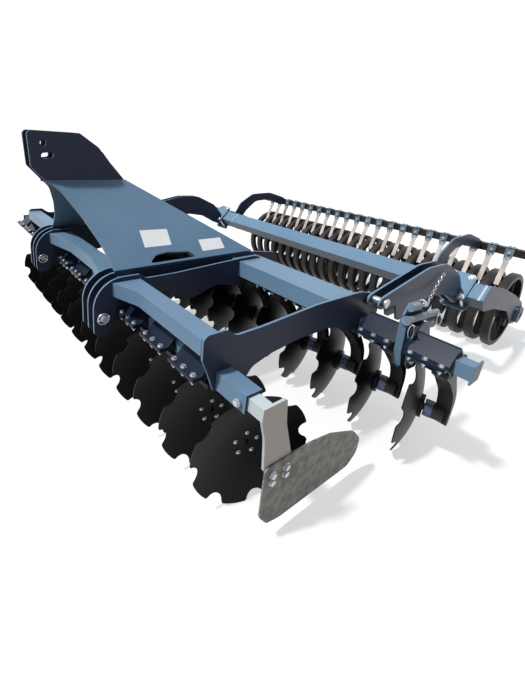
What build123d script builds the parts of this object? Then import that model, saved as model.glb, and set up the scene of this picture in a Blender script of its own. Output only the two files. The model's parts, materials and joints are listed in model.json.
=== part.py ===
"""Compact disc harrow: two rows of notched discs on rubber-sprung arms, three-point
headstock, and a hoop packer roller with a scraper bar.

Frame of the part: X across (+X is the machine's left), +Y to the rear, +Z up,
z = 0 on the ground under the discs and the roller. All sizes in millimetres.
The sizes below count y from the front face of the front beam and z from a level line
above the ground; save() moves every node so that the middle of the machine's length
stands over the origin and the ground is z = 0.
"""
from math import acos, cos, radians, sin, sqrt, tan
import os

from build123d import *

os.makedirs("parts", exist_ok=True)

GROUND_Z = -50.0

# ---- driving sizes: discs ------------------------------------------------------------
PITCH = 250.0
DISCS_PER_ROW = 12
DISC_D = 560.0
DISC_Z = GROUND_Z + DISC_D / 2
DISC_T = 5.0
DISC_SPHERE = 683.0
NOTCHES = 8
NOTCH_R = 47.0
NOTCH_CENTRE = 290.0
NOTCH_EDGE_R = 14.0
NOTCH_PHASE = 11.0
DISC_ANGLE = 16.0
FLANGE_R = 62.0
FLANGE_T = 14.0
STUB_R = 20.0
STUB_END = 84.0
HUB_R = 44.0
HUB_GAP = 4.0
HUB_END = 108.0
RUN_FIT = 0.06
SEAT = 0.2

# ---- driving sizes: carriers, clamps and arms ------------------------------------------
CARRIER = 70.0
CARRIER_WALL = 8.0
CARRIER_Z = 605.0
FRONT_Y = 115.0
REAR_Y = 1090.0
CARRIER_LONG = 1790.0
CARRIER_SHORT = 1420.0
CAP_T = 8.0
CAP_OVER = 12.0
CLAMP_FRONT_X0 = 1125.0
CLAMP_REAR_X0 = 1625.0
CLAMP_L = 184.0
CLAMP_T = 8.0
CLAMP_FLANGE = 122.0
CORD_R = 17.0
ARM_SHIFT = 54.0
ARM_OFFSET = 95.0
ARM_W = 70.0
ARM_T = 24.0
DISC_TRAIL = 150.0

# ---- driving sizes: frame ----------------------------------------------------------------
SIDE_X = 1244.0
SIDE_T = 12.0
TOP_Z = 800.0
FRONT_BEAM_D = 92.0
FRONT_BEAM_H = 70.0
REAR_BEAM_Y = 760.0
REAR_BEAM_D = 200.0
REAR_BEAM_H = 92.0
BEAM_WALL = 8.0
CHEEK_T = 12.0
CHEEK_X = (440.6, 512.6, 584.6)
CHEEK_TOP = 822.0
CHEEK_NOSE = 152.0
WEDGE_D = 56.0
WEDGE_OUT = 160.0
WEDGE_IN = 255.0
PIN_Y = -110.0
PIN_Z = 632.0
PIN_R = 18.0

# ---- driving sizes: headstock ----------------------------------------------------------------
MAST_X = 54.0
MAST_T = 12.0
FOLD_Z = 1210.0
TOP_HOLE_Y = -190.0
TOP_HOLE_Z = 1405.0
TOP_HOLE_R = 16.0
TOP_SLOT_Y = -172.0
TOP_SLOT_Z = 1343.0
TOP_SLOT_HALF = 15.0

# ---- driving sizes: roller section --------------------------------------------------------------
PIVOT_Y = 1110.0
PIVOT_Z = 748.0
PIVOT_R = 20.0
ARM_PLATES = (1262.0, 1322.0)
ARM_PLATE_T = 12.0
ROLLER_Y = 3150.0
ROLLER_R = 325.0
ROLLER_Z = GROUND_Z + ROLLER_R
RING_PITCH = 125.0
RINGS = 23
RING_W = 50.0
RING_H = 42.0
RING_WALL = 6.0
SPOKE_W = 50.0
SPOKE_T = 8.0
SHAFT_R = 70.0
JOURNAL_R = 25.0
ROLLER_BEAM_Y = 2220.0
ROLLER_BEAM_Z = 600.0
ROLLER_BEAM = 120.0
ROLLER_BEAM_X = 1466.0
END_PLATE_T = 12.0
BEARING_R = 68.0
BEARING_T = 26.0
SADDLE_T = 14.0
SADDLE_L = 172.0
SADDLE_OVER = 46.0
SCRAPER_Y = 3110.0
SCRAPER_Z = 778.0
SCRAPER_BAR = 60.0
SCRAPER_X = 1500.0
SCRAPER_W = 46.0
SCRAPER_T = 8.0
SUPPORT_X = 8.5 * RING_PITCH + SCRAPER_W / 2 + 12
SUPPORT_T = 12.0
DEFLECTOR_REACH = 80.0
DEFLECTOR_T = 8.0
HOLDER_T = 12.0
SLIDE = 54.0
SLOT_AT = (66.0, 142.0)
SLOT_W = 20.0
ORIGIN_Y = 1604.1


def outline(points):
    """Face inside a closed run of (u, v) corners; a third value rounds that corner."""
    corners = []
    for index, point in enumerate(points):
        here = Vector(point[0], point[1])
        before = Vector(points[index - 1][0], points[index - 1][1])
        following = points[(index + 1) % len(points)]
        after = Vector(following[0], following[1])
        if len(point) == 2:
            corners.append([here])
            continue
        back = (before - here).normalized()
        ahead = (after - here).normalized()
        half = acos(back.dot(ahead)) / 2
        cut = point[2] / tan(half)
        middle = here + (back + ahead).normalized() * (point[2] / sin(half) - point[2])
        corners.append([here + back * cut, middle, here + ahead * cut])
    edges = []
    for index, corner in enumerate(corners):
        if len(corner) == 3:
            edges.append(ThreePointArc(*corner))
        start = corner[-1]
        end = corners[(index + 1) % len(corners)][0]
        if (end - start).length > 0.001:
            edges.append(Line(start, end))
    return make_face(edges)


def block(x0, x1, y0, y1, z0, z1):
    """Solid box between coordinate limits."""
    centre = Pos((x0 + x1) / 2, (y0 + y1) / 2, (z0 + z1) / 2)
    return centre * Box(abs(x1 - x0), abs(y1 - y0), abs(z1 - z0))


def plate(points, x0, x1):
    """Flat plate: a (y, z) outline extruded across from x0 to x1."""
    return extrude(Plane.YZ.offset(min(x0, x1)) * outline(points), amount=abs(x1 - x0))


def slab(points, z0, z1):
    """Flat plate: an (x, y) outline extruded up from z0 to z1."""
    return extrude(Plane.XY.offset(z0) * outline(points), amount=z1 - z0)


def rod_x(y, z, r, x0, x1):
    """Cylinder along X."""
    return Pos((x0 + x1) / 2, y, z) * Rot(0, 90, 0) * Cylinder(r, abs(x1 - x0))


def square_tube(x0, x1, y, z, depth, height, wall):
    """Rectangular tube along X, centred on (y, z), with 6 mm caps let into the ends."""
    outer = block(x0, x1, y - depth / 2, y + depth / 2, z - height / 2, z + height / 2)
    inner = block(
        x0 + 6, x1 - 6,
        y - depth / 2 + wall, y + depth / 2 - wall,
        z - height / 2 + wall, z + height / 2 - wall,
    )
    return outer - inner


def both_sides(shape):
    """A shape and its mirror image across the machine's middle."""
    return [shape, mirror(shape, Plane.YZ)]


def save(name, shapes):
    """Write one node; several solids go out as one compound."""
    solids = []
    for shape in shapes:
        solids.extend(shape.solids())
    solids = [Pos(0, -ORIGIN_Y, -GROUND_Z) * solid for solid in solids]
    shape = solids[0] if len(solids) == 1 else Compound(children=solids)
    export_step(shape, f"parts/{name}.step")


# ---- frame beams -----------------------------------------------------------------
front_beam = square_tube(
    -SIDE_X, SIDE_X, FRONT_BEAM_D / 2, TOP_Z - FRONT_BEAM_H / 2,
    FRONT_BEAM_D, FRONT_BEAM_H, BEAM_WALL,
)
cheek_outer = CHEEK_X[2] + CHEEK_T
for x0, x1 in ((cheek_outer, cheek_outer + WEDGE_OUT), (CHEEK_X[0], CHEEK_X[0] - WEDGE_IN)):
    wedge = slab([(x0, 1), (x0, -WEDGE_D), (x1, 0), (x1, 1)], TOP_Z - FRONT_BEAM_H, TOP_Z)
    for solid in both_sides(wedge):
        front_beam += solid
rear_beam = square_tube(
    -SIDE_X, SIDE_X, REAR_BEAM_Y + REAR_BEAM_D / 2, TOP_Z - REAR_BEAM_H / 2,
    REAR_BEAM_D, REAR_BEAM_H, BEAM_WALL,
)

SIDE_PROFILE = [
    (0, 816, 28), (110, 816, 26), (160, 779, 60), (300, 781, 300), (665, 804, 900),
    (1010, 799, 260), (1160, 762, 70), (1215, 700, 50), (1215, 640, 40), (1160, 534, 30),
    (1075, 534, 50), (985, 590, 160), (800, 652, 260), (560, 656, 400), (380, 636, 200),
    (268, 606, 60), (228, 548, 40), (72, 548, 30), (30, 655, 60), (2, 715, 40),
]
HOLE = CARRIER / 2 + SEAT
carrier_holes = [
    block(-CARRIER_LONG, CARRIER_LONG, y - HOLE, y + HOLE, CARRIER_Z - HOLE, CARRIER_Z + HOLE)
    for y in (FRONT_Y, REAR_Y)
]
side_plate = plate(SIDE_PROFILE, SIDE_X, SIDE_X + SIDE_T) - carrier_holes
side_plates = both_sides(side_plate)

NOSE = [(-70, 532, 30), (-CHEEK_NOSE, 532, 30), (-CHEEK_NOSE, CHEEK_TOP, 150)]
HITCH_PROFILES = (
    # short cheek by the lower link
    NOSE + [(FRONT_BEAM_D + 14, CHEEK_TOP, 12), (FRONT_BEAM_D + 14, 706, 20), (-30, 706, 20)],
    # long plate that also holds both carriers
    NOSE + [
        (930, CHEEK_TOP, 500), (1160, 790, 60), (1190, 730, 60), (1190, 660, 40),
        (1140, 552, 24), (1045, 552, 40), (985, 612, 160), (760, 662, 300), (500, 655, 400),
        (220, 616, 80), (178, 552, 30), (30, 552, 30),
    ],
    # outer plate, clear of the clamps
    NOSE + [
        (90, CHEEK_TOP, 12), (128, 795, 40), (300, 795, 200), (700, 813, 600),
        (930, CHEEK_TOP, 200), (955, 800, 12), (955, 712, 20), (900, 652, 60), (790, 640, 60),
        (600, 680, 160), (430, 626, 60), (300, 660, 60), (262, 706, 30), (-30, 706, 20),
    ],
)
beam_cut = [
    block(-SIDE_X, SIDE_X, -SEAT, FRONT_BEAM_D + SEAT, TOP_Z - FRONT_BEAM_H - SEAT, TOP_Z + SEAT),
    block(-SIDE_X, SIDE_X, REAR_BEAM_Y - SEAT, REAR_BEAM_Y + REAR_BEAM_D + SEAT,
          TOP_Z - REAR_BEAM_H - SEAT, TOP_Z + SEAT),
]
pin_bore = rod_x(PIN_Y, PIN_Z, PIN_R + RUN_FIT, -SIDE_X, SIDE_X)
hitch_plates = []
for index, x in enumerate(CHEEK_X):
    body = plate(HITCH_PROFILES[index], x, x + CHEEK_T)
    hitch_plates.extend(both_sides(body - carrier_holes - beam_cut - pin_bore))

pins = []
lower_pin = rod_x(PIN_Y, PIN_Z, PIN_R, CHEEK_X[0] - 14, CHEEK_X[2] + CHEEK_T + 34)
pins.extend(both_sides(lower_pin))

# ---- headstock ---------------------------------------------------------------------
MAST_PROFILE = [
    (-268, 1464, 24), (2, 1464, 20), (112, 1392, 60), (161, 1321, 80), (266, FOLD_Z),
    (-188, FOLD_Z), (-259, 1287, 20),
]
BASE_X = CHEEK_X[1] + CHEEK_T / 2
slope = sqrt((BASE_X - MAST_X) ** 2 + (FOLD_Z - CHEEK_TOP) ** 2)
# wing outline: distance down the slope from the fold, distance along the machine
WING = [
    (0, -188), (82, -129, 200), (265, -68, 500), (442, -26, 500), (slope, -12), (slope, 922),
    (0, 266),
]
WINDOW = [(slope - 14, 191, 8), (slope - 62, 253, 24), (slope - 70, 319, 30),
          (slope - 55, 458, 24), (slope - 14, 500, 8)]
wing_dir = Vector(BASE_X - MAST_X, 0, CHEEK_TOP - FOLD_Z).normalized()
wing_plane = Plane(
    origin=(MAST_X, 0, FOLD_Z), x_dir=wing_dir, z_dir=wing_dir.cross(Vector(0, 1, 0))
)
wing = extrude(wing_plane * (outline(WING) - outline(WINDOW)), amount=MAST_T)
mast = plate(MAST_PROFILE, MAST_X - MAST_T, MAST_X)
bend = Pos(MAST_X - 2, 39, FOLD_Z - 2) * Rot(90, 0, 0) * Cylinder(9, 454)
half_headstock = mast + wing + bend
web = plate(
    [(120, 1372), (134, 1372), (177, 1317, 80), (276, 1208), (262, 1196), (150, 1318, 80)],
    -MAST_X + MAST_T, MAST_X - MAST_T,
)
slot_rise = TOP_SLOT_HALF * 0.27
slot = plate(
    [(TOP_SLOT_Y - TOP_SLOT_HALF - TOP_HOLE_R, TOP_SLOT_Z - slot_rise - 15, 13),
     (TOP_SLOT_Y + TOP_SLOT_HALF + TOP_HOLE_R, TOP_SLOT_Z + slot_rise - 15, 13),
     (TOP_SLOT_Y + TOP_SLOT_HALF + TOP_HOLE_R, TOP_SLOT_Z + slot_rise + 15, 13),
     (TOP_SLOT_Y - TOP_SLOT_HALF - TOP_HOLE_R, TOP_SLOT_Z - slot_rise + 15, 13)],
    MAST_X - 2 * MAST_T, MAST_X + MAST_T,
)
top_hole = rod_x(TOP_HOLE_Y, TOP_HOLE_Z, TOP_HOLE_R, MAST_X - 2 * MAST_T, MAST_X + MAST_T)
above_cheeks = block(-SIDE_X, SIDE_X, -400, 1200, CHEEK_TOP, 1600)
half_headstock = (half_headstock - top_hole - slot) & above_cheeks
headstock = web
for solid in both_sides(half_headstock):
    headstock = headstock + solid

# ---- carriers, clamps, cords, arms -----------------------------------------------------
carriers = {}
for name, y, side in (("front", FRONT_Y, -1), ("rear", REAR_Y, 1)):
    carrier = square_tube(
        -side * CARRIER_SHORT, side * CARRIER_LONG, y, CARRIER_Z, CARRIER, CARRIER, CARRIER_WALL
    )
    cap_half = CARRIER / 2 + CAP_OVER
    carrier += block(
        side * CARRIER_LONG, side * (CARRIER_LONG + CAP_T),
        y - cap_half, y + cap_half, CARRIER_Z - cap_half, CARRIER_Z + cap_half,
    )
    carriers[name] = carrier

CORD_AT = CARRIER / 2 + CORD_R
HI = CORD_AT + CORD_R * sqrt(2) + 0.02
HO = HI + CLAMP_T * sqrt(2)
UPPER = [
    (-CLAMP_FLANGE, 0), (-CLAMP_FLANGE, CLAMP_T), (-HO + CLAMP_T, CLAMP_T), (0, HO, 14),
    (HO - CLAMP_T, CLAMP_T), (CLAMP_FLANGE, CLAMP_T), (CLAMP_FLANGE, 0), (HI, 0), (0, HI, 5),
    (-HI, 0),
]
ROWS = (
    # name, y, first clamp x, side (+1 concave face looks to +X)
    ("front", FRONT_Y, CLAMP_FRONT_X0, 1),
    ("rear", REAR_Y, CLAMP_REAR_X0, -1),
)
upper_half = plate(UPPER, -CLAMP_L / 2, CLAMP_L / 2)
lower_half = mirror(upper_half, Plane.XY)

# ---- disc, built about its own axis: concave face towards +Z ------------------------------
sphere_centre = Pos(0, 0, DISC_SPHERE)
shell = sphere_centre * Sphere(DISC_SPHERE) - sphere_centre * Sphere(DISC_SPHERE - DISC_T)
rim = Circle(DISC_D / 2)
for k in range(NOTCHES):
    angle = radians(360 / NOTCHES * k + NOTCH_PHASE)
    rim -= Pos(NOTCH_CENTRE * cos(angle), NOTCH_CENTRE * sin(angle)) * Circle(NOTCH_R)
rim = fillet(rim.vertices(), NOTCH_EDGE_R)
blade = shell & extrude(rim, amount=90)
flange = Pos(0, 0, (4.0 - FLANGE_T) / 2) * Cylinder(FLANGE_R, FLANGE_T + 4.0)
stub = Pos(0, 0, -(STUB_END + FLANGE_T) / 2) * Cylinder(STUB_R, STUB_END - FLANGE_T)
disc = blade + flange + stub

clamps = []
cords = []
arms = []
for name, y, clamp_x0, side in ROWS:
    disc_y = y + DISC_TRAIL
    hub_y = disc_y + ARM_OFFSET * tan(radians(DISC_ANGLE))
    saddle = CARRIER_Z - HO - 2 * SEAT
    # bent flat bar: saddle under the clamp, sweep to the rear, foot at the hub
    bar = [
        (y - 40, saddle + 40), (y, saddle, 14), (y + 40, saddle + 40), (y + 64, saddle + 16, 20),
        (hub_y + ARM_T / 2 + 8, DISC_Z + 110, 220), (hub_y + ARM_T / 2, DISC_Z - 52, 10),
        (hub_y - ARM_T / 2, DISC_Z - 52, 10), (hub_y - ARM_T / 2 + 4, DISC_Z + 110, 220),
        (y + 20, saddle - 26, 60), (y - 46, saddle + 20, 20),
    ]
    for k in range(DISCS_PER_ROW):
        clamp_x = clamp_x0 - PITCH * k
        arm_x = clamp_x + ARM_SHIFT
        disc_x = arm_x + side * ARM_OFFSET
        at = Pos(clamp_x, y, CARRIER_Z)
        clamps.append(at * upper_half)
        clamps.append(at * lower_half)
        for dy, dz in ((0, CORD_AT), (0, -CORD_AT), (CORD_AT, 0), (-CORD_AT, 0)):
            x0 = clamp_x - CLAMP_L / 2
            x1 = clamp_x + CLAMP_L / 2
            cords.append(rod_x(y + dy, CARRIER_Z + dz, CORD_R, x0, x1))
        axis = Vector(side * cos(radians(DISC_ANGLE)), -sin(radians(DISC_ANGLE)), 0)
        seat = Plane(origin=(disc_x, disc_y, DISC_Z), x_dir=(0, 0, 1), z_dir=axis)
        save(f"{name}_disc_{k + 1:02d}", [seat.location * disc])
        arm = plate(bar, arm_x - ARM_W / 2, arm_x + ARM_W / 2)
        hub_l = HUB_END - FLANGE_T - HUB_GAP
        hub = Pos(0, 0, -FLANGE_T - HUB_GAP - hub_l / 2) * Cylinder(HUB_R, hub_l)
        arm += seat.location * hub
        bore_l = STUB_END + 2 - FLANGE_T
        bore = Pos(0, 0, -FLANGE_T - bore_l / 2) * Cylinder(STUB_R + RUN_FIT, bore_l)
        arms.append(arm - seat.location * bore)

# ---- deflectors ----------------------------------------------------------------------------
deflector_x = CARRIER_SHORT + DEFLECTOR_REACH
deflector_holders = []
deflector_plates = []
for side, y in ((1, FRONT_Y), (-1, REAR_Y)):
    low = CARRIER_Z - SLIDE / 2
    high = CARRIER_Z + SLIDE / 2
    holder = block(CARRIER_SHORT, deflector_x, y - SLIDE / 2, y + SLIDE / 2, low, high)
    holder += plate(
        [(y - SLIDE / 2, high), (y + 92, high, 12), (y + 110, low - 60, 160), (y + 172, 345),
         (y + 22, 330, 10), (y + 2, low - 90, 260), (y - SLIDE / 2, low, 60)],
        deflector_x - HOLDER_T, deflector_x,
    )
    wear_plate = plate(
        [(y + 22, 352, 20), (y + 30, 100, 50), (y + 80, 36, 40), (y + 160, 18, 60),
         (y + 640, 18, 50), (y + 704, 70, 60), (y + 704, 160, 60), (y + 630, 236, 120),
         (y + 430, 318, 160), (y + 280, 345, 60)],
        deflector_x, deflector_x + DEFLECTOR_T,
    )
    for dy in SLOT_AT:
        wear_plate -= plate(
            [(y + dy - SLOT_W / 2 - 4, 320, 9), (y + dy + SLOT_W / 2 - 4, 320, 9),
             (y + dy + SLOT_W / 2 + 4, 252, 9), (y + dy - SLOT_W / 2 + 4, 252, 9)],
            deflector_x, deflector_x + DEFLECTOR_T,
        )
    if side < 0:
        holder = mirror(holder, Plane.YZ)
        wear_plate = mirror(wear_plate, Plane.YZ)
    deflector_holders.append(holder)
    deflector_plates.append(wear_plate)

# ---- roller arms, beam, scrapers ---------------------------------------------------------------
reach = ROLLER_BEAM / sqrt(2)
ARM_PROFILE = [
    (PIVOT_Y - 50, PIVOT_Z - 34, 34), (PIVOT_Y - 50, PIVOT_Z + 24, 30), (PIVOT_Y + 30, 790, 60),
    (1300, 822, 200), (1560, 872, 300), (1790, 866, 200), (2040, 760, 200),
    (ROLLER_BEAM_Y - reach + 30, ROLLER_BEAM_Z + 30), (ROLLER_BEAM_Y, ROLLER_BEAM_Z - reach),
    (2080, 548, 60), (1900, 640, 300), (1660, 680, 160), (1440, 600, 100), (1296, 600, 40),
    (1240, 712, 40), (PIVOT_Y + 50, PIVOT_Z - 34, 20),
]
turn = Pos(0, ROLLER_BEAM_Y, ROLLER_BEAM_Z) * Rot(45, 0, 0)
inside = ROLLER_BEAM - 2 * BEAM_WALL
beam_outer = Box(2 * ROLLER_BEAM_X, ROLLER_BEAM, ROLLER_BEAM)
beam_inner = Box(2 * ROLLER_BEAM_X - 12, inside, inside)
roller_beam = turn * (beam_outer - beam_inner)
room = ROLLER_BEAM + 2 * SEAT
beam_room = turn * Box(2 * ROLLER_BEAM_X, room, room)
pivot_bore = rod_x(PIVOT_Y, PIVOT_Z, PIVOT_R + RUN_FIT, -ROLLER_BEAM_X, ROLLER_BEAM_X)
# clamp plates on the beam's upper front and lower rear faces, ears past both edges
saddle_x = (ARM_PLATES[0] + ARM_PLATES[1] + ARM_PLATE_T) / 2
half = ROLLER_BEAM / 2
beam_saddles = []
for z0, z1 in ((half + SEAT, half + SEAT + SADDLE_T), (-half - SEAT - SADDLE_T, -half - SEAT)):
    pad = slab(
        [(saddle_x - SADDLE_L / 2, -half - SADDLE_OVER, 24),
         (saddle_x + SADDLE_L / 2, -half - SADDLE_OVER, 24),
         (saddle_x + SADDLE_L / 2, half + SADDLE_OVER, 24),
         (saddle_x - SADDLE_L / 2, half + SADDLE_OVER, 24)],
        z0, z1,
    )
    beam_saddles.extend(both_sides(turn * pad))
roller_arms = []
for x in ARM_PLATES:
    arm_plate = plate(ARM_PROFILE, x, x + ARM_PLATE_T) - pivot_bore - beam_room
    for pad in beam_saddles:
        arm_plate -= pad
    roller_arms.extend(both_sides(max(arm_plate.solids(), key=lambda solid: solid.volume)))
pivot_pin = rod_x(PIVOT_Y, PIVOT_Z, PIVOT_R, SIDE_X + SIDE_T, ARM_PLATES[1] + ARM_PLATE_T + 11)
pins.extend(both_sides(pivot_pin))

END_PROFILE = [
    (ROLLER_BEAM_Y - 92, ROLLER_BEAM_Z, 20), (ROLLER_BEAM_Y, ROLLER_BEAM_Z + 92, 20),
    (2560, 610, 200), (2920, 490, 260), (ROLLER_Y + 78, ROLLER_Z + 84, 78),
    (ROLLER_Y + 78, ROLLER_Z - 78, 78), (ROLLER_Y - 70, ROLLER_Z - 78, 70),
    (2840, 370, 260), (2440, 480, 200), (ROLLER_BEAM_Y, ROLLER_BEAM_Z - 92, 20),
]
journal_bore = rod_x(ROLLER_Y, ROLLER_Z, JOURNAL_R + RUN_FIT, -2 * ROLLER_BEAM_X, 2 * ROLLER_BEAM_X)
end_plate = plate(END_PROFILE, ROLLER_BEAM_X, ROLLER_BEAM_X + END_PLATE_T)
end_plate += rod_x(
    ROLLER_Y, ROLLER_Z, BEARING_R, ROLLER_BEAM_X + END_PLATE_T,
    ROLLER_BEAM_X + END_PLATE_T + BEARING_T,
)
end_plates = both_sides(end_plate - journal_bore)

bar_half = SCRAPER_BAR / 2
scraper_bar = square_tube(
    -SCRAPER_X, SCRAPER_X, SCRAPER_Y, SCRAPER_Z, SCRAPER_BAR, SCRAPER_BAR, 5.0
)
SUPPORT_PROFILE = [
    (ROLLER_BEAM_Y + reach, ROLLER_BEAM_Z), (ROLLER_BEAM_Y, ROLLER_BEAM_Z + reach),
    (2290, 800, 100), (2470, 900, 160), (2760, 910, 200), (3000, 850, 160),
    (SCRAPER_Y - bar_half, SCRAPER_Z + 28), (SCRAPER_Y - bar_half, SCRAPER_Z - bar_half),
    (2960, 760, 120), (2740, 830, 200), (2530, 815, 160), (2390, 710, 120),
]
support = plate(SUPPORT_PROFILE, SUPPORT_X - SUPPORT_T / 2, SUPPORT_X + SUPPORT_T / 2)
bar_supports = both_sides(support)
# scraper: foot on the bar's front face, blade slanting down and forward between two rings
SCRAPER_PROFILE = [
    (SCRAPER_Y - bar_half, SCRAPER_Z + 22), (SCRAPER_Y - bar_half - SCRAPER_T, SCRAPER_Z + 22),
    (SCRAPER_Y - bar_half - SCRAPER_T, SCRAPER_Z - 26, 12), (ROLLER_Y - 196, ROLLER_Z + 238),
    (ROLLER_Y - 190, ROLLER_Z + 232), (SCRAPER_Y - bar_half, SCRAPER_Z - 29, 20),
]
scrapers = []
for k in range(RINGS - 1):
    x = (RINGS - 2) / 2 * RING_PITCH - RING_PITCH * k
    scrapers.append(plate(SCRAPER_PROFILE, x - SCRAPER_W / 2, x + SCRAPER_W / 2))

# ---- roller --------------------------------------------------------------------------------------
ring_outer = Cylinder(ROLLER_R, RING_W) - Cylinder(ROLLER_R - RING_H, RING_W)
ring_hollow = Cylinder(ROLLER_R - RING_WALL, RING_W - 2 * RING_WALL)
ring_hollow -= Cylinder(ROLLER_R - RING_H - 1, RING_W)
wheel = ring_outer - ring_hollow
for k in range(4):
    spoke = Box(ROLLER_R - RING_WALL - SHAFT_R + 2, SPOKE_W, SPOKE_T)
    wheel += Rot(0, 0, 90 * k) * Pos((SHAFT_R + ROLLER_R - RING_WALL) / 2, 0, 0) * spoke
wheel -= Cylinder(SHAFT_R, 2 * RING_W)
rings = []
for k in range(RINGS):
    x = (RINGS - 1) / 2 * RING_PITCH - RING_PITCH * k
    rings.append(Pos(x, ROLLER_Y, ROLLER_Z) * Rot(0, 90, 0) * wheel)
shaft_x = ROLLER_BEAM_X - 7
journal_x = ROLLER_BEAM_X + END_PLATE_T + BEARING_T - 4
shaft = rod_x(ROLLER_Y, ROLLER_Z, SHAFT_R, -shaft_x, shaft_x)
shaft += rod_x(ROLLER_Y, ROLLER_Z, JOURNAL_R, -journal_x, journal_x)

# ---- nodes ------------------------------------------------------------------------------------------
NODES = {
    "front_beam": [front_beam],
    "rear_beam": [rear_beam],
    "side_plates": side_plates,
    "hitch_plates": hitch_plates,
    "headstock": [headstock],
    "pins": pins,
    "front_carrier": [carriers["front"]],
    "rear_carrier": [carriers["rear"]],
    "clamps": clamps,
    "rubber_cords": cords,
    "disc_arms": arms,
    "deflector_holders": deflector_holders,
    "deflector_plates": deflector_plates,
    "roller_arms": roller_arms,
    "roller_beam": [roller_beam],
    "beam_saddles": beam_saddles,
    "roller_end_plates": end_plates,
    "scraper_bar": [scraper_bar],
    "bar_supports": bar_supports,
    "scrapers": scrapers,
    "roller_rings": rings,
    "roller_shaft": [shaft],
}
for name, shapes in NODES.items():
    save(name, shapes)
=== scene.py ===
"""Compact disc harrow: finish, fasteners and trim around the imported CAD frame. Units are metres."""
import json
from math import cos, pi, radians, sin
import random

import bpy
from mathutils import Matrix, Vector


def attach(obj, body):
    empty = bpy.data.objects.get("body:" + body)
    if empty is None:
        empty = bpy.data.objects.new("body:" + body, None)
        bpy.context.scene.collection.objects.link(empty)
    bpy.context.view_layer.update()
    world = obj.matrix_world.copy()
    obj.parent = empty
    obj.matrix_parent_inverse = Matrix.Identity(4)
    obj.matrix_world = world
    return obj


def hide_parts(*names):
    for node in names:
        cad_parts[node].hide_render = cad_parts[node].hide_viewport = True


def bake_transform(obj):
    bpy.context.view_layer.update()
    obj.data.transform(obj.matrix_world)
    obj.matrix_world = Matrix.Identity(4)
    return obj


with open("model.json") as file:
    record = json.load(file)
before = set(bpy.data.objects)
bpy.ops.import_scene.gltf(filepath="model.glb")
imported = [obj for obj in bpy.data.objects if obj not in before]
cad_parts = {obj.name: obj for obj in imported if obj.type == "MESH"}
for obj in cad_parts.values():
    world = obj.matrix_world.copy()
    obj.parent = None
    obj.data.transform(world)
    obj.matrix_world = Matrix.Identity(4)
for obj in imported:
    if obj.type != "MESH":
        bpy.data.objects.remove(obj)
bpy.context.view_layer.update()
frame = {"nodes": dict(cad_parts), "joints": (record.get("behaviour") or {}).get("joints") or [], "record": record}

scene = bpy.context.scene
random.seed(7)

X = Vector((1, 0, 0))
Y = Vector((0, 1, 0))
Z = Vector((0, 0, 1))

# ---- sizes shared with the CAD source ------------------------------------------------------------
# x points to the machine's left, y runs back from the front beam's face, z up from the datum.
ORIGIN_Y = 1.6041
GROUND_Z = -0.05
PITCH = 0.25
DISCS_PER_ROW = 12
CARRIER_Z = 0.605
CARRIER_SHORT = 1.42
ROWS = {"front": (0.115, 1.125), "rear": (1.09, 1.625)}  # carrier's y, first clamp's x
CLAMP_T = 0.008
SIDE_OUTER = 1.256
CHEEK_OUTER = 0.5966
CHEEK_INNER = 0.4406
PIN = (-0.11, 0.632)
PIVOT = (1.11, 0.748)
DEFLECTOR_X = 1.5
DEFLECTOR_T = 0.008
ROLLER_BEAM = (2.22, 0.60)
ROLLER_BEAM_HALF = 0.06
ROLLER_BEAM_X = 1.466
ROLLER_AXIS = (3.15, 0.275)
SADDLE_X = 1.298
SCRAPER_BAR = (3.11, 0.778)
SCRAPER_BAR_HALF = 0.03
SCRAPERS = 22
RING_R = 0.325
RING_PITCH = 0.125
RINGS = 23


def at(x, y, z):
    """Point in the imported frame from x, y behind the front beam's face, and the source's z."""
    return Vector((x, y - ORIGIN_Y, z - GROUND_Z))


# ---- materials -----------------------------------------------------------------------------------
SECOND_TONE = 0.88  # of the first, where a material names no second tone
# sideways size of the normal over which the painted light and shade on side faces fades in
PAINTED_SIDE_LIGHT_FROM = 0.78
PAINTED_SIDE_LIGHT_TO = 0.97


def link(tree, out, into):
    tree.links.new(out, into)


def noise(tree, scale, detail=3.0, rough=0.5):
    """Noise over the object's own coordinates."""
    coords = tree.nodes.new("ShaderNodeTexCoord")
    node = tree.nodes.new("ShaderNodeTexNoise")
    node.inputs["Scale"].default_value = scale
    node.inputs["Detail"].default_value = detail
    node.inputs["Roughness"].default_value = rough
    link(tree, coords.outputs["Object"], node.inputs["Vector"])
    return node


def ramp(tree, source, low, high, colour_low, colour_high):
    """Colour that runs from one to the other as the source goes from low to high."""
    node = tree.nodes.new("ShaderNodeValToRGB")
    node.color_ramp.elements[0].position = low
    node.color_ramp.elements[0].color = (*colour_low, 1)
    node.color_ramp.elements[1].position = high
    node.color_ramp.elements[1].color = (*colour_high, 1)
    link(tree, source, node.inputs["Fac"])
    return node


def painted_side_light_tone(tree, colour, tone):
    """Painted light and shade: another tone on the faces that look straight to the left or to the right, which
    stands in for the shade or the reflected light that falls there.
    """
    geometry = tree.nodes.new("ShaderNodeNewGeometry")
    parts = tree.nodes.new("ShaderNodeSeparateXYZ")
    link(tree, geometry.outputs["Normal"], parts.inputs["Vector"])
    size = tree.nodes.new("ShaderNodeMath")
    size.operation = "ABSOLUTE"
    link(tree, parts.outputs["X"], size.inputs[0])
    amount = tree.nodes.new("ShaderNodeMapRange")
    amount.inputs["From Min"].default_value = PAINTED_SIDE_LIGHT_FROM
    amount.inputs["From Max"].default_value = PAINTED_SIDE_LIGHT_TO
    link(tree, size.outputs[0], amount.inputs["Value"])
    mix = tree.nodes.new("ShaderNodeMix")
    mix.data_type = "RGBA"
    link(tree, amount.outputs["Result"], mix.inputs["Factor"])
    link(tree, colour, mix.inputs["A"])
    mix.inputs["B"].default_value = (*tone, 1)
    return mix.outputs["Result"]


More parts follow.
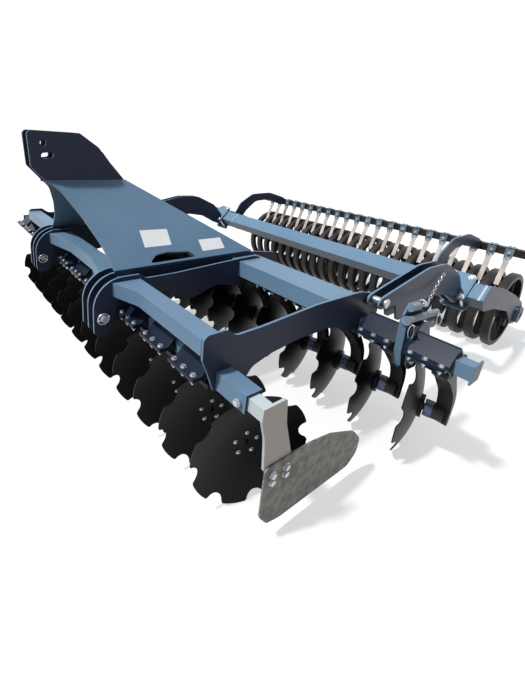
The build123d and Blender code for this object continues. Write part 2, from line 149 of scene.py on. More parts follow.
def material(name, colour, rough=0.4, metal=0.0, other=None, scale=3.0, band=(0.35, 0.65),
             bevel=0.0, bump=0.0, bump_scale=60.0, specular=0.5, painted_side_light=None):
    """Principled material with a slow noise between two tones, an edge bevel and a fine bump, and where given a
    painted light or shade tone on the faces that look left or right.
    """
    made = bpy.data.materials.new(name)
    made.use_nodes = True
    tree = made.node_tree
    bsdf = tree.nodes["Principled BSDF"]
    bsdf.inputs["Roughness"].default_value = rough
    bsdf.inputs["Metallic"].default_value = metal
    bsdf.inputs["Specular IOR Level"].default_value = specular
    if other is None:
        other = tuple(SECOND_TONE * value for value in colour)
    tones = ramp(tree, noise(tree, scale).outputs["Fac"], band[0], band[1], other, colour)
    shade = tones.outputs["Color"]
    # painted light or shade: another tone on the faces that look left or right
    if painted_side_light:
        shade = painted_side_light_tone(tree, shade, painted_side_light)
    link(tree, shade, bsdf.inputs["Base Color"])
    normal = None
    if bevel:
        rounded = tree.nodes.new("ShaderNodeBevel")
        rounded.samples = 4
        rounded.inputs["Radius"].default_value = bevel
        normal = rounded.outputs["Normal"]
    if bump:
        raised = tree.nodes.new("ShaderNodeBump")
        raised.inputs["Strength"].default_value = bump
        raised.inputs["Distance"].default_value = 0.002
        link(tree, noise(tree, bump_scale, 4.0).outputs["Fac"], raised.inputs["Height"])
        if normal:
            link(tree, normal, raised.inputs["Normal"])
        normal = raised.outputs["Normal"]
    if normal:
        link(tree, normal, bsdf.inputs["Normal"])
    return made


MATERIALS = {
    # frame_paint's side tone is painted shade: dark navy on the faces that look left or right
    "frame_paint": material(
        "frame_paint", (0.132, 0.225, 0.335), 0.36, other=(0.108, 0.190, 0.295), scale=1.6,
        bevel=0.003, specular=0.2, painted_side_light=(0.034, 0.046, 0.088), bump=0.03, bump_scale=220.0),
    "clamp_paint": material(
        "clamp_paint", (0.011, 0.020, 0.042), 0.30, other=(0.008, 0.014, 0.030), scale=4.0,
        bevel=0.002, specular=0.12),
    "disc_black": material(
        "disc_black", (0.005, 0.005, 0.006), 0.38, other=(0.012, 0.010, 0.009), scale=5.0,
        specular=0.14, bump=0.05),
    "arm_black": material(
        "arm_black", (0.014, 0.014, 0.018), 0.42, other=(0.030, 0.026, 0.022), scale=6.0,
        bevel=0.002, specular=0.25),
    "rubber": material("rubber", (0.02, 0.02, 0.021), 0.8, scale=20.0, specular=0.2),
    "zinc": material(
        "zinc", (0.62, 0.66, 0.70), 0.32, 0.85, other=(0.45, 0.49, 0.54), scale=40.0),
    # primer's side tone is painted light: a paler warm grey on the faces that look left or right, for light
    # reflected from the ground
    "primer": material(
        "primer", (0.48, 0.56, 0.60), 0.55, other=(0.44, 0.50, 0.535), scale=6.0, bevel=0.002,
        specular=0.3, painted_side_light=(0.82, 0.79, 0.76)),
    "bare_steel": material(
        "bare_steel", (0.27, 0.265, 0.24), 0.5, 0.25, other=(0.12, 0.12, 0.11), scale=26.0,
        band=(0.4, 0.62), bump=0.08, specular=0.4),
}
EXTRA = {
    "scraper_steel": material(
        "scraper_steel", (0.62, 0.56, 0.53), 0.45, 0.2, other=(0.42, 0.37, 0.35), scale=9.0),
    "sticker": material("sticker", (0.80, 0.82, 0.84), 0.5, other=(0.76, 0.78, 0.8), scale=8.0),
    "edge_paint": material(
        "edge_paint", (0.30, 0.42, 0.55), 0.4, other=(0.25, 0.36, 0.48), scale=6.0),
    "holder_paint": material(
        "holder_paint", (0.17, 0.24, 0.29), 0.38, other=(0.08, 0.12, 0.15), scale=14.0,
        bevel=0.0015, specular=0.3),
    "pin_paint": material(
        "pin_paint", (0.19, 0.27, 0.34), 0.4, other=(0.13, 0.19, 0.25), scale=30.0, bevel=0.001),
    "hub_paint": material("hub_paint", (0.06, 0.10, 0.19), 0.35, scale=12.0),
}
SLOTS = {row["node"]: row["material_slot"] for row in frame["record"]["subparts"]}
for name, thing in frame["nodes"].items():
    surface = EXTRA["scraper_steel"] if name == "scrapers" else MATERIALS[SLOTS[name]]
    thing.data.materials.clear()
    thing.data.materials.append(surface)

# ---- mesh helpers --------------------------------------------------------------------------------
SHARP_ANGLE = radians(32)
WASHER_T = 0.0028
# the sizes below are parts of the thread's diameter
WASHER_R = 1.05
HEX_R = 0.87
HEAD_H = 0.62
CROWN_H = 0.06
CROWN_R = (0.78, 0.66)
NUT_H = 0.8
THREAD_R = (0.46, 0.4)
DOME = ((1.0, 0.0), (0.97, 0.45), (0.72, 0.82), (0.35, 0.97))  # parts of its radius and height


def side_directions(axis):
    """Two unit vectors square to an axis and to each other."""
    axis = axis.normalized()
    helper = Z if abs(axis.z) < 0.9 else X
    across = axis.cross(helper).normalized()
    return across, axis.cross(across).normalized()


def circle(centre, across, up, radius, count):
    """Points round a circle."""
    return [
        centre + radius * (cos(2 * pi * i / count) * across + sin(2 * pi * i / count) * up)
        for i in range(count)
    ]


class Solids:
    """Gathers simple closed solids, which then go out as one mesh."""

    def __init__(self):
        self.points = []
        self.faces = []

    def add(self, points, faces):
        start = len(self.points)
        self.points.extend(points)
        self.faces.extend([[start + i for i in face] for face in faces])

    def prism(self, corners, origin, across, up, depth):
        """Outline of (u, v) corners at origin, with u along across and v along up,
        pushed out by the vector depth."""
        low = [origin + across * u + up * v for u, v in corners]
        count = len(low)
        self.add(
            low + [point + depth for point in low],
            [list(range(count))[::-1], list(range(count, 2 * count))]
            + [[i, (i + 1) % count, count + (i + 1) % count, count + i] for i in range(count)],
        )

    def box(self, low, high):
        """Box between two corners."""
        size = high - low
        self.prism([(0, 0), (size.x, 0), (size.x, size.y), (0, size.y)], low, X, Y, Z * size.z)

    def rod(self, start, end, radius, sides=16, end_radius=None, turn=0.0):
        """Cylinder or cone between two points."""
        across, up = side_directions(end - start)
        end_radius = radius if end_radius is None else end_radius
        ring = []
        for point, size in ((start, radius), (end, end_radius)):
            for i in range(sides):
                angle = 2 * pi * i / sides + turn
                ring.append(point + size * (cos(angle) * across + sin(angle) * up))
        self.add(
            ring,
            [list(range(sides))[::-1], list(range(sides, 2 * sides))]
            + [[i, (i + 1) % sides, sides + (i + 1) % sides, sides + i] for i in range(sides)],
        )

    def wire(self, path, radius, sides=8):
        """Round wire along a closed path of points."""
        count = len(path)
        rings = []
        across = None
        for i, point in enumerate(path):
            along = (path[(i + 1) % count] - path[i - 1]).normalized()
            if across is None:
                across, up = side_directions(along)
            across = (across - along * across.dot(along)).normalized()
            up = along.cross(across)
            rings.extend(
                point + radius * (cos(2 * pi * k / sides) * across + sin(2 * pi * k / sides) * up)
                for k in range(sides)
            )
        faces = []
        for i in range(count):
            j = (i + 1) % count
            for k in range(sides):
                m = (k + 1) % sides
                faces.append([i * sides + k, i * sides + m, j * sides + m, j * sides + k])
        self.add(rings, faces)

    def dome(self, base, axis, radius, height, sides=14):
        """Round cap head."""
        across, up = side_directions(axis)
        axis = axis.normalized()
        points = []
        for wide, high in DOME:
            for i in range(sides):
                angle = 2 * pi * i / sides
                points.append(
                    base + axis * (high * height)
                    + radius * wide * (cos(angle) * across + sin(angle) * up)
                )
        points.append(base + axis * height)
        faces = [list(range(sides))[::-1]]
        for level in range(len(DOME) - 1):
            for i in range(sides):
                j = (i + 1) % sides
                a = level * sides
                faces.append([a + i, a + j, a + sides + j, a + sides + i])
        last = (len(DOME) - 1) * sides
        for i in range(sides):
            faces.append([last + i, last + (i + 1) % sides, len(points) - 1])
        self.add(points, faces)

    def washer(self, seat, axis, size):
        """Washer for that thread diameter; gives back the point on top of it."""
        top = seat + axis * WASHER_T
        self.rod(seat, top, size * WASHER_R, 18)
        return top

    def bolt(self, seat, axis, size, turn=0.0):
        """Hex head of a bolt of that thread diameter, on a washer."""
        axis = axis.normalized()
        base = self.washer(seat, axis, size)
        top = base + axis * size * HEAD_H
        self.rod(base, top, size * HEX_R, 6, turn=turn)
        self.rod(top, top + axis * size * CROWN_H, size * CROWN_R[0], 18, size * CROWN_R[1])

    def nut(self, seat, axis, size, tail, turn=0.0):
        """Washer, nut and the end of the thread."""
        axis = axis.normalized()
        base = self.washer(seat, axis, size)
        top = base + axis * size * NUT_H
        self.rod(base, top, size * HEX_R, 6, turn=turn)
        self.rod(top, top + axis * tail, size * THREAD_R[0], 12, size * THREAD_R[1])

    def make(self, name, surface, body):
        """The gathered solids as one object, which rides on that body if one is given."""
        mesh = bpy.data.meshes.new(name)
        mesh.from_pydata([tuple(point) for point in self.points], [], self.faces)
        mesh.validate()
        mesh.update()
        mesh.polygons.foreach_set("use_smooth", [True] * len(mesh.polygons))
        mesh.set_sharp_from_angle(angle=SHARP_ANGLE)
        mesh.materials.append(surface)
        made = bpy.data.objects.new(name, mesh)
        scene.collection.objects.link(made)
        if body:
            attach(made, body)
        return made


# ---- clamp bolts ---------------------------------------------------------------------------------
CLAMP_BOLT = 0.0125
CLAMP_BOLT_TAIL = 0.010
CLAMP_BOLT_DX = (-0.068, 0.0, 0.068)
CLAMP_BOLT_DY = 0.104


def clamp_bolts():
    """Three bolts before and three behind the carrier in each clamp."""
    for row, (y, first) in ROWS.items():
        bolts = Solids()
        for k in range(DISCS_PER_ROW):
            x = first - PITCH * k
            for dy in (-CLAMP_BOLT_DY, CLAMP_BOLT_DY):
                for dx in CLAMP_BOLT_DX:
                    turn = random.uniform(0, pi / 3)
                    upper = at(x + dx, y + dy, CARRIER_Z + CLAMP_T)
                    lower = at(x + dx, y + dy, CARRIER_Z - CLAMP_T)
                    bolts.bolt(upper, Z, CLAMP_BOLT, turn)
                    bolts.nut(lower, -Z, CLAMP_BOLT, CLAMP_BOLT_TAIL, turn)
        bolts.make(f"{row}_clamp_bolts", MATERIALS["zinc"], "frame")


# ---- disc bolts and hubs -------------------------------------------------------------------------
DISC_BOLTS = 5
DISC_BOLT_RING = 0.055
DISC_BOLT_TURN = 0.94
DISC_FACE = 0.0066  # from the joint to the disc's front face under the bolts
DISC_WASHER = (0.0105, 0.003)
DISC_HEAD = (0.0085, 0.0055)
HUB_SLEEVE = (0.020, 0.056)  # behind the joint
HUB_SLEEVE_R = 0.0455


def disc_bolts():
    """Round-headed bolts through each disc, and the painted sleeve on each hub behind it."""
    hubs = Solids()
    for joint in frame["joints"]:
        if "spin_" not in joint["name"] or joint["child"] == "roller":
            continue
        centre = Vector(joint["pos_m"])
        axis = Vector(joint["axis"]).normalized()
        across, up = side_directions(axis)
        bolts = Solids()
        for k in range(DISC_BOLTS):
            angle = 2 * pi / DISC_BOLTS * k + DISC_BOLT_TURN
            away = DISC_BOLT_RING * (cos(angle) * across + sin(angle) * up)
            place = centre + axis * DISC_FACE + away
            head = place + axis * DISC_WASHER[1]
            bolts.rod(place, head, DISC_WASHER[0], 16)
            bolts.dome(head, axis, *DISC_HEAD)
        bolts.make(joint["child"] + "_bolts", MATERIALS["zinc"], joint["child"])
        start, end = HUB_SLEEVE
        hubs.rod(centre - axis * start, centre - axis * end, HUB_SLEEVE_R, 28)
    hubs.make("hub_sleeves", EXTRA["hub_paint"], "frame")


# ---- lower pins' linch pins, pivot pins ----------------------------------------------------------
CLIP_DROP = 0.004
CLIP_RING_R = 0.028
CLIP_WIRE_R = 0.0028
CLIP_PIN_HALF = 0.032
CLIP_PIN_R = 0.0046
PIN_END = (0.034, 0.038)  # outside the outer cheek
PIN_END_R = 0.0165
PIVOT_END = (0.089, 0.093)  # outside the side plate
PIVOT_END_R = 0.026


def pin_clips():
    """A linch pin with its ring at both ends of each lower pin, and the ends of the pins."""
    clips = Solids()
    for side in (1, -1):
        for face, turn in ((CHEEK_OUTER + 0.016, 0.25), (CHEEK_INNER - 0.007, -0.4)):
            centre = at(side * face, *PIN) - Z * CLIP_DROP
            lean = Vector((0, cos(turn), sin(turn)))
            clips.wire(circle(centre, Y, Z, CLIP_RING_R, 26), CLIP_WIRE_R)
            clips.rod(
                centre + lean * CLIP_PIN_HALF, centre - lean * CLIP_PIN_HALF, CLIP_PIN_R, 10)
        for face, place, ends, radius, sides in (
            (CHEEK_OUTER, PIN, PIN_END, PIN_END_R, 20),
            (SIDE_OUTER, PIVOT, PIVOT_END, PIVOT_END_R, 24),
        ):
            start, end = (at(side * (face + reach), *place) for reach in ends)
            clips.rod(start, end, radius, sides)
    clips.make("pin_clips", MATERIALS["zinc"], "frame")


# ---- blank stickers on the headstock's near wing -------------------------------------------------
STICKERS = {
    "sticker_large": (
        (.342, .213, .969), (.347, .387, .965), (.432, .371, .894), (.430, .203, .895)),
    "sticker_small": (
        (.423, .564, .902), (.424, .729, .901), (.484, .723, .850), (.485, .557, .850)),
}
STICKER_T = 0.0006
WING_FOLD = (0.054, 0, 1.21)
WING_NORMAL = Vector((0.641, 0, 0.767))
WING_FACE = 0.0121  # from the fold line to the wing's outer face


def stickers():
    """Thin plates laid on the wing's plane under the corners given."""
    base = at(*WING_FOLD) + WING_NORMAL * WING_FACE
    for name, corners in STICKERS.items():
        flat = [at(*corner) for corner in corners]
        flat = [point - WING_NORMAL * (point - base).dot(WING_NORMAL) for point in flat]
        plate = Solids()
        plate.add(
            flat + [point + WING_NORMAL * STICKER_T for point in flat],
            [[0, 1, 2, 3], [7, 6, 5, 4], [0, 4, 5, 1], [1, 5, 6, 2], [2, 6, 7, 3], [3, 7, 4, 0]],
        )
        plate.make(name, EXTRA["sticker"], "frame")


# ---- deflectors: sleeve, bolt, wear plate's bolts ------------------------------------------------
SLEEVE_IN = 0.0352
SLEEVE_OUT = 0.039
SLEEVE_OVER = 0.004  # past the carrier's end
SLEEVE_WALLS = (  # y and z of two corners
    (-SLEEVE_OUT, -SLEEVE_IN, -SLEEVE_OUT, SLEEVE_OUT),
    (SLEEVE_IN, SLEEVE_OUT, -SLEEVE_OUT, SLEEVE_OUT),
    (-SLEEVE_IN, SLEEVE_IN, SLEEVE_IN, SLEEVE_OUT),
    (-SLEEVE_IN, SLEEVE_IN, -SLEEVE_OUT, -SLEEVE_IN),
)
LOCK_BOLT = 0.015
LOCK_NUT = (0.0135, 0.010)
LOCK_BACK = 0.028  # from the carrier's end
LOCK_DROP = 0.004
PLATE_BOLT = 0.016
PLATE_BOLT_DY = (0.066, 0.142)
PLATE_BOLT_Z = (0.302, 0.268)


def deflector_fixings():
    """Sleeve round the carrier's end, the bolt that locks the tube, and the wear plate's bolts."""
    sleeves = Solids()
    fixings = Solids()
    for side, y in ((1, ROWS["front"][0]), (-1, ROWS["rear"][0])):
        for y0, y1, z0, z1 in SLEEVE_WALLS:
            x0, x1 = sorted((side * SIDE_OUTER, side * (CARRIER_SHORT + SLEEVE_OVER)))
            sleeves.box(at(x0, y + y0, CARRIER_Z + z0), at(x1, y + y1, CARRIER_Z + z1))
        seat = at(side * (CARRIER_SHORT - LOCK_BACK), y - SLEEVE_OUT, CARRIER_Z - LOCK_DROP)
        fixings.rod(seat, seat - Y * LOCK_NUT[1], LOCK_NUT[0], 6)
        fixings.bolt(seat - Y * LOCK_NUT[1], -Y, LOCK_BOLT, 0.2)
        plate_x = side * (DEFLECTOR_X + DEFLECTOR_T)
        for dy in PLATE_BOLT_DY:
            for z in PLATE_BOLT_Z:
                fixings.bolt(at(plate_x, y + dy, z), X * side, PLATE_BOLT, 0.3)
    sleeves.make("deflector_sleeves", MATERIALS["frame_paint"], "frame")
    fixings.make("deflector_fixings", MATERIALS["zinc"], "frame")


# ---- roller beam: straps, saddle bolts -----------------------------------------------------------
STRAPS = ((1.035, 0.014, 0.005), (ROLLER_BEAM_X - 0.012, 0.016, 0.004))  # x, width, thickness
SADDLE_BOLT = 0.02
SADDLE_BOLT_TAIL = 0.016
SADDLE_BOLT_DX = 0.058
SADDLE_BOLT_EDGE = 0.083
SADDLE_FACE = 0.0742
STUD_HALF = 0.0602
STUD_R = 0.0095


def beam_fittings():
    """Straps over the beam, which lies on its edge, and the through bolts of its saddles."""
    beam_at = at(0, *ROLLER_BEAM)
    front_up = Vector((0, -1, 1)).normalized()
    rear_up = Vector((0, 1, 1)).normalized()
    straps = Solids()
    bolts = Solids()
    for side in (1, -1):
        for x, wide, thick in STRAPS:
            for normal, along in ((front_up, rear_up), (rear_up, front_up), (-front_up, rear_up)):
                reach = ROLLER_BEAM_HALF + thick
                corner = beam_at + X * (side * x - wide / 2) + normal * ROLLER_BEAM_HALF
                straps.prism(
                    [(0, 0), (wide, 0), (wide, 2 * reach), (0, 2 * reach)],
                    corner - along * reach, X, along, normal * thick,
                )
        for dx in (-SADDLE_BOLT_DX, SADDLE_BOLT_DX):
            for edge in (-SADDLE_BOLT_EDGE, SADDLE_BOLT_EDGE):
                base = beam_at + X * (side * SADDLE_X + dx) + rear_up * edge
                above, below = base + front_up * SADDLE_FACE, base - front_up * SADDLE_FACE
                bolts.bolt(above, front_up, SADDLE_BOLT, 0.2)
                bolts.nut(below, -front_up, SADDLE_BOLT, SADDLE_BOLT_TAIL, 0.2)
                bolts.rod(base - front_up * STUD_HALF, base + front_up * STUD_HALF, STUD_R, 12)
    straps.make("beam_straps", EXTRA["edge_paint"], "roller_frame")
    bolts.make("saddle_bolts", MATERIALS["zinc"], "roller_frame")


# ---- roller bearings' bolts ----------------------------------------------------------------------
BEARING_BOLT = 0.012
BEARING_BOLT_RING = 0.082
BEARING_FACE = 0.012  # outside the beam's end


def bearing_bolts():
    """Four bolts round each bearing of the roller."""
    bolts = Solids()
    for side in (1, -1):
        x = side * (ROLLER_BEAM_X + BEARING_FACE)
        for angle in (45, 135, 225, 315):
            away = Vector((0, cos(radians(angle)), sin(radians(angle))))
            bolts.bolt(
                at(x, *ROLLER_AXIS) + away * BEARING_BOLT_RING, X * side, BEARING_BOLT, 0.3)
    bolts.make("bearing_bolts", MATERIALS["zinc"], "roller_frame")


# ---- scrapers: holder plates, strips and bolts ---------------------------------------------------
BAR_FRONT = SCRAPER_BAR[0] - SCRAPER_BAR_HALF
BAR_TOP = SCRAPER_BAR[1] + SCRAPER_BAR_HALF
STRIP_W = 0.036
STRIP_T = 0.008
STRIP = (  # side view, from the bar's front face down to the tip over the rings
    (BAR_FRONT, SCRAPER_BAR[1] + 0.022), (BAR_FRONT - STRIP_T, SCRAPER_BAR[1] + 0.022),
    (BAR_FRONT - STRIP_T, SCRAPER_BAR[1] - 0.026),
    (ROLLER_AXIS[0] - 0.156, ROLLER_AXIS[1] + 0.236),
    (ROLLER_AXIS[0] - 0.150, ROLLER_AXIS[1] + 0.230), (BAR_FRONT, SCRAPER_BAR[1] - 0.029),
)
HOLDER_T = 0.006
HOLDER_HALF = 0.030
HOLDER_OUT = STRIP_T + HOLDER_T
HOLDER_BACK = 0.05
HOLDER = (
    (-HOLDER_HALF, HOLDER_T), (HOLDER_HALF, HOLDER_T), (HOLDER_HALF, -0.062),
    (0.014, -0.108), (-0.022, -0.112), (-HOLDER_HALF, -0.062),
)

HOLDER_BOLTS = (  # place from the bar's upper front edge, axis, thread, turn
    (-0.014, 0.02, HOLDER_T, Z, 0.012, 0.2),
    (0.014, 0.02, HOLDER_T, Z, 0.012, 0.2),
    (0.0, -HOLDER_OUT, -0.036, -Y, 0.013, 0.2),
    (-0.004, -HOLDER_OUT, -0.080, -Y, 0.011, 0.6),
)


def scrapers():
    """Strips over the gaps between the rings, with the folded plates that hold them."""
    strips = Solids()
    holders = Solids()
    bolts = Solids()
    for k in range(SCRAPERS):
        x = (SCRAPERS - 1) / 2 * RING_PITCH - RING_PITCH * k
        strips.prism(STRIP, at(x - STRIP_W / 2, 0, 0), Y, Z, X * STRIP_W)
        holders.prism(HOLDER, at(x, BAR_FRONT - STRIP_T, BAR_TOP), X, Z, -Y * HOLDER_T)
        holders.box(
            at(x - HOLDER_HALF, BAR_FRONT - HOLDER_OUT, BAR_TOP),
            at(x + HOLDER_HALF, BAR_FRONT + HOLDER_BACK, BAR_TOP + HOLDER_T),
        )
        for dx, dy, dz, axis, size, turn in HOLDER_BOLTS:
            bolts.bolt(at(x + dx, BAR_FRONT + dy, BAR_TOP + dz), axis, size, turn)
    made = strips.make("scraper_strips", EXTRA["scraper_steel"], "roller_frame")
    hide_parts("scrapers")
    holders.make("scraper_holders", EXTRA["holder_paint"], "roller_frame")
    bolts.make("scraper_bolts", MATERIALS["zinc"], "roller_frame")


# ---- packer rings: folded band, with the spokes that carry it ------------------------------------
RING_HALF = 0.032
RING_SIDE = 0.045
RING_WALL = 0.006
RING_CHAMFER = 0.009
RING_STEPS = 72
SPOKES = 4
SPOKE_W = 0.05
SPOKE_T = 0.008
SHAFT_R = 0.07


def ring_section():
    """Cross-section of the band as (x, radius): its outside, and then its inside."""
    inner_half = RING_HALF - RING_WALL
    edge = RING_R - RING_SIDE
    shoulder = RING_R - RING_CHAMFER
    inner_shoulder = RING_R - 2 * RING_WALL
    inner_face = RING_R - RING_WALL
    return (
        (-RING_HALF, edge), (-RING_HALF, shoulder), (-RING_HALF + RING_CHAMFER, RING_R),
        (RING_HALF - RING_CHAMFER, RING_R), (RING_HALF, shoulder), (RING_HALF, edge),
        (inner_half, edge), (inner_half, inner_shoulder), (inner_half - RING_WALL, inner_face),
        (-inner_half + RING_WALL, inner_face), (-inner_half, inner_shoulder), (-inner_half, edge),
    )


def packer_rings():
    """Open rings of the packer roller, each on its spokes."""
    section = ring_section()
    count = len(section)
    faces = []
    for step in range(RING_STEPS):
        following = (step + 1) % RING_STEPS
        for i in range(count):
            j = (i + 1) % count
            faces.append([
                step * count + i, step * count + j, following * count + j, following * count + i
            ])
    spoke_end = RING_R - RING_WALL - SHAFT_R
    spoke = [
        (0, -SPOKE_T / 2), (spoke_end, -SPOKE_T / 2), (spoke_end, SPOKE_T / 2), (0, SPOKE_T / 2)
    ]
    rings = Solids()
    for k in range(RINGS):
        middle = at((RINGS - 1) / 2 * RING_PITCH - RING_PITCH * k, *ROLLER_AXIS)
        points = []
        for step in range(RING_STEPS):
            angle = 2 * pi * step / RING_STEPS
            away = Vector((0, cos(angle), sin(angle)))
            points.extend(middle + X * dx + away * radius for dx, radius in section)
        rings.add(points, faces)
        for quarter in range(SPOKES):
            angle = 2 * pi / SPOKES * quarter
            away = Vector((0, cos(angle), sin(angle)))
            across = Vector((0, -sin(angle), cos(angle)))
            rings.prism(
                spoke, middle - X * (SPOKE_W / 2) + away * SHAFT_R, away, across, X * SPOKE_W)
    made = rings.make("packer_rings", MATERIALS["arm_black"], "roller")
    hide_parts("roller_rings")


# ---- depth bracket on the rear carrier, with its pins --------------------------------------------
INNER_PLATE = (
    (1.000, 0.770), (1.030, 0.822), (1.130, 0.815), (1.240, 0.690), (1.285, 0.620), (1.240, 0.545),
    (1.215, 0.480), (1.160, 0.448), (1.090, 0.455), (1.050, 0.500), (1.022, 0.580),
)
OUTER_PLATE = (
    (1.110, 0.690), (1.088, 0.635), (1.058, 0.545), (1.072, 0.500), (1.115, 0.458), (1.190, 0.450),
    (1.225, 0.500), (1.270, 0.600), (1.235, 0.668), (1.160, 0.712),
)
FRONT_BAR = (
    (0.992, 0.748), (1.012, 0.580), (1.044, 0.492), (1.053, 0.498), (1.023, 0.584), (1.002, 0.750),
)
BRACKET = (  # side view, inner face's x, width
    (INNER_PLATE, 1.478, 0.008), (OUTER_PLATE, 1.516, 0.008), (FRONT_BAR, 1.474, 0.036),
)
DEPTH_PINS = (  # start, end, radius
    ((1.506, 0.996, 0.752), (1.506, 1.318, 0.724), 0.0165),
    ((1.506, 0.984, 0.753), (1.506, 0.996, 0.752), 0.022),
    ((1.496, 1.020, 0.806), (1.496, 1.100, 0.800), 0.0185),
    ((1.500, 1.215, 0.668), (1.500, 1.318, 0.650), 0.0165),
)
LOOPS = (((1.528, 1.000, 0.735), 0.075), ((1.528, 1.300, 0.722), 0.068))  # top, drop
LOOP_STEPS = 24
LOOP_TWIST = 0.004
LOOP_HALF = 0.020
LOOP_SWING = 0.35
LOOP_WIRE_R = 0.0026
LOOP_PIN_R = 0.0035
EYE = (1.496, 1.138, 0.806)
EYE_R = 0.015
EYE_WIRE_R = 0.005
BRACKET_FACE = 1.524
BRACKET_BOLT = 0.016
BRACKET_BOLTS = ((1.120, 0.500), (1.205, 0.622))


def depth_bracket():
    """Two plates and a front bar."""
    bracket = Solids()
    for outline, x, wide in BRACKET:
        bracket.prism(outline, at(x, 0, 0), Y, Z, X * wide)
    bracket.make("depth_bracket", MATERIALS["frame_paint"], "frame")


def depth_pins():
    """The depth pins, the wire loops that lock them, the chain's eye and the bracket's bolts."""
    pins = Solids()
    for start, end, radius in DEPTH_PINS:
        pins.rod(at(*start), at(*end), radius, 20)
    pins.make("depth_pins", EXTRA["pin_paint"], "frame")
    loops = Solids()
    for (x, y, z), drop in LOOPS:
        path = []
        for i in range(LOOP_STEPS):
            angle = 2 * pi * i / LOOP_STEPS
            path.append(at(x, y, z) + Vector((
                LOOP_TWIST * sin(angle),
                LOOP_HALF * sin(angle) + LOOP_SWING * drop * (1 - cos(angle)) / 2,
                -drop * (1 - cos(angle)) / 2,
            )))
        loops.wire(path, LOOP_WIRE_R)
        loops.rod(at(x - 0.045, y, z + 0.008), at(x + 0.014, y, z + 0.002), LOOP_PIN_R, 10)
    loops.wire(circle(at(*EYE), X, Z, EYE_R, 20), EYE_WIRE_R)
    for y, z in BRACKET_BOLTS:
        loops.bolt(at(BRACKET_FACE, y, z), X, BRACKET_BOLT, 0.4)
    loops.make("pin_loops", MATERIALS["zinc"], "frame")


# ---- chain from the roller arm to the pins -------------------------------------------------------
CHAIN_PATH = (
    (1.348, 1.735, 0.815), (1.356, 1.640, 0.745), (1.385, 1.520, 0.700), (1.430, 1.380, 0.715),
    (1.470, 1.240, 0.770), (1.494, 1.150, 0.800),
)
LINK_STEP = 0.021
LINK_LONG = 0.0135
LINK_WIDE = 0.0075
LINK_WIRE_R = 0.0022
LINK_POINTS = 14


def pin_chain():
    """Oval links, every other one turned; the chain bends between the roller arm and the frame."""
    chain = Solids()
    knots = [at(*point) for point in CHAIN_PATH]
    side_turn = False
    for start, end in zip(knots, knots[1:]):
        links = max(2, round((end - start).length / LINK_STEP))
        along = (end - start).normalized()
        across, up = side_directions(along)
        for i in range(links):
            middle = start + (end - start) * ((i + 0.5) / links)
            side_turn = not side_turn
            flat = across if side_turn else up
            path = []
            for j in range(LINK_POINTS):
                angle = 2 * pi * j / LINK_POINTS
                path.append(
                    middle + along * (LINK_LONG * cos(angle)) + flat * (LINK_WIDE * sin(angle)))
            chain.wire(path, LINK_WIRE_R, 6)
    made = chain.make("pin_chain", MATERIALS["zinc"], "")
    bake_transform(made)


for build in (
    clamp_bolts, disc_bolts, pin_clips, stickers, deflector_fixings, beam_fittings, bearing_bolts,
    scrapers, packer_rings, depth_bracket, depth_pins, pin_chain,
):
    build()

# ---- camera --------------------------------------------------------------------------------------
CAMERA_AT = (2.1837, -0.7521 - ORIGIN_Y, 1.4821 - GROUND_Z)
AZIMUTH = 52.54
ELEVATION = 19.29
ROLL = 4.10
SENSOR_MM = 36.0
LENS_MM = 25.95634
SHIFT = (0.1197524, -0.1505143)  # parts of the picture's width


def make_camera():
    """Camera from its place, the way it looks, its roll, its lens and the lens's shift."""
    azimuth, elevation, roll = radians(AZIMUTH), radians(ELEVATION), radians(ROLL)
    back = Vector((
        sin(azimuth) * cos(elevation), -cos(azimuth) * cos(elevation), sin(elevation)
    ))
    right = Vector((cos(azimuth), sin(azimuth), 0))
    up = back.cross(right)
    right_rolled = cos(roll) * right + sin(roll) * up
    up_rolled = cos(roll) * up - sin(roll) * right
    data = bpy.data.cameras.new("camera")
    data.sensor_fit = "HORIZONTAL"
    data.sensor_width = SENSOR_MM
    data.lens = LENS_MM
    data.shift_x, data.shift_y = SHIFT
    data.clip_start = 0.05
    data.clip_end = 100
    camera = bpy.data.objects.new("camera", data)
    rotation = Matrix((right_rolled, up_rolled, back)).transposed()
    camera.matrix_world = Matrix.Translation(CAMERA_AT) @ rotation.to_4x4()
    scene.collection.objects.link(camera)
    scene.camera = camera


# ---- floor, world and sun ------------------------------------------------------------------------
FLOOR_HALF = 40
FLOOR_SEEN = (0.38, 0.38, 0.38)
FLOOR_LIT = (0.27, 0.23, 0.185)
FLOOR_GLOW = (0.58, 0.58, 0.58)
SKY_MIDDLE = (-0.45, -0.45, 0.77)
SKY_BAND = (0.1, 0.95)
SKY_DIM = (0.035, 0.045, 0.07)
SKY_BRIGHT = (0.85, 0.92, 1.0)
SUN_AT = (-0.16, -0.56, 0.8)
SUN_ENERGY = 3.6
SUN_ANGLE = 4
SUN_COLOUR = (1.0, 0.97, 0.92)


def larger(tree, first, second):
    """The larger of two values."""
    node = tree.nodes.new("ShaderNodeMath")
    node.operation = "MAXIMUM"
    link(tree, first, node.inputs[0])
    link(tree, second, node.inputs[1])
    return node.outputs[0]


def seen_or_lit(tree, seen, lit):
    """Mix between what the camera and reflections see and what lights the object."""
    path = tree.nodes.new("ShaderNodeLightPath")
    direct = larger(tree, path.outputs["Is Camera Ray"], path.outputs["Is Glossy Ray"])
    direct = larger(tree, direct, path.outputs["Is Transmission Ray"])
    mix = tree.nodes.new("ShaderNodeMix")
    mix.data_type = "RGBA"
    link(tree, direct, mix.inputs["Factor"])
    mix.inputs["B"].default_value = (*seen, 1)
    if isinstance(lit, tuple):
        mix.inputs["A"].default_value = (*lit, 1)
    else:
        link(tree, lit, mix.inputs["A"])
    return mix.outputs["Result"]


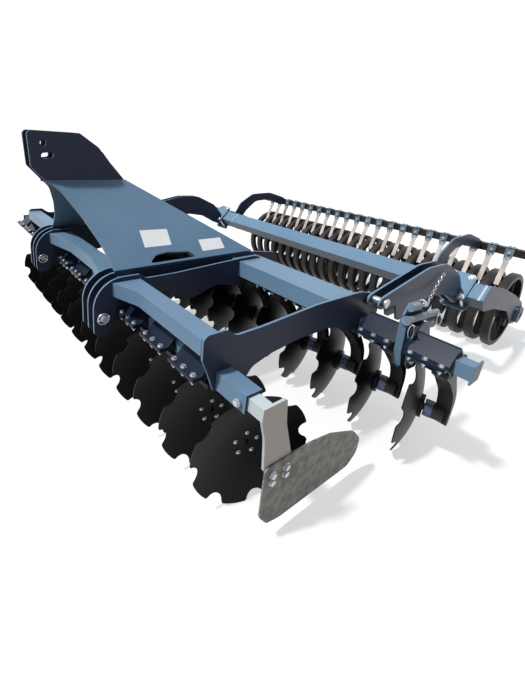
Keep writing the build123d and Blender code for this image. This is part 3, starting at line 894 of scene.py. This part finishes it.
def make_floor():
    """Pale floor that shows as white to the camera and keeps the object's shadow."""
    mesh = bpy.data.meshes.new("floor")
    corners = [(-1, -1), (1, -1), (1, 1), (-1, 1)]
    mesh.from_pydata([(FLOOR_HALF * x, FLOOR_HALF * y, 0) for x, y in corners], [], [(0, 1, 2, 3)])
    floor = bpy.data.objects.new("floor", mesh)
    scene.collection.objects.link(floor)
    surface = bpy.data.materials.new("floor")
    surface.use_nodes = True
    tree = surface.node_tree
    bsdf = tree.nodes["Principled BSDF"]
    bsdf.inputs["Roughness"].default_value = 0.9
    bsdf.inputs["Specular IOR Level"].default_value = 0.0
    link(tree, seen_or_lit(tree, FLOOR_SEEN, FLOOR_LIT), bsdf.inputs["Base Color"])
    link(tree, seen_or_lit(tree, FLOOR_GLOW, (0, 0, 0)), bsdf.inputs["Emission Color"])
    bsdf.inputs["Emission Strength"].default_value = 1.0
    mesh.materials.append(surface)


def make_world():
    """Soft sky, brightest overhead and ahead of the machine; white where it is seen."""
    world = bpy.data.worlds.new("world")
    scene.world = world
    world.use_nodes = True
    tree = world.node_tree
    coords = tree.nodes.new("ShaderNodeTexCoord")
    turned = tree.nodes.new("ShaderNodeVectorMath")
    turned.operation = "DOT_PRODUCT"
    turned.inputs[1].default_value = Vector(SKY_MIDDLE).normalized()
    link(tree, coords.outputs["Generated"], turned.inputs[0])
    sky = ramp(tree, turned.outputs["Value"], *SKY_BAND, SKY_DIM, SKY_BRIGHT)
    colour = seen_or_lit(tree, (1, 1, 1), sky.outputs["Color"])
    link(tree, colour, tree.nodes["Background"].inputs["Color"])
    tree.nodes["Background"].inputs["Strength"].default_value = 1.0


def make_sun():
    """Low-contrast sun from ahead of the machine and above it."""
    data = bpy.data.lights.new("sun", "SUN")
    data.energy = SUN_ENERGY
    data.angle = radians(SUN_ANGLE)
    data.color = SUN_COLOUR
    sun = bpy.data.objects.new("sun", data)
    sun.rotation_euler = Vector(SUN_AT).to_track_quat("Z", "Y").to_euler()
    scene.collection.objects.link(sun)


make_camera()
make_floor()
make_world()
make_sun()
scene.view_settings.view_transform = "Standard"
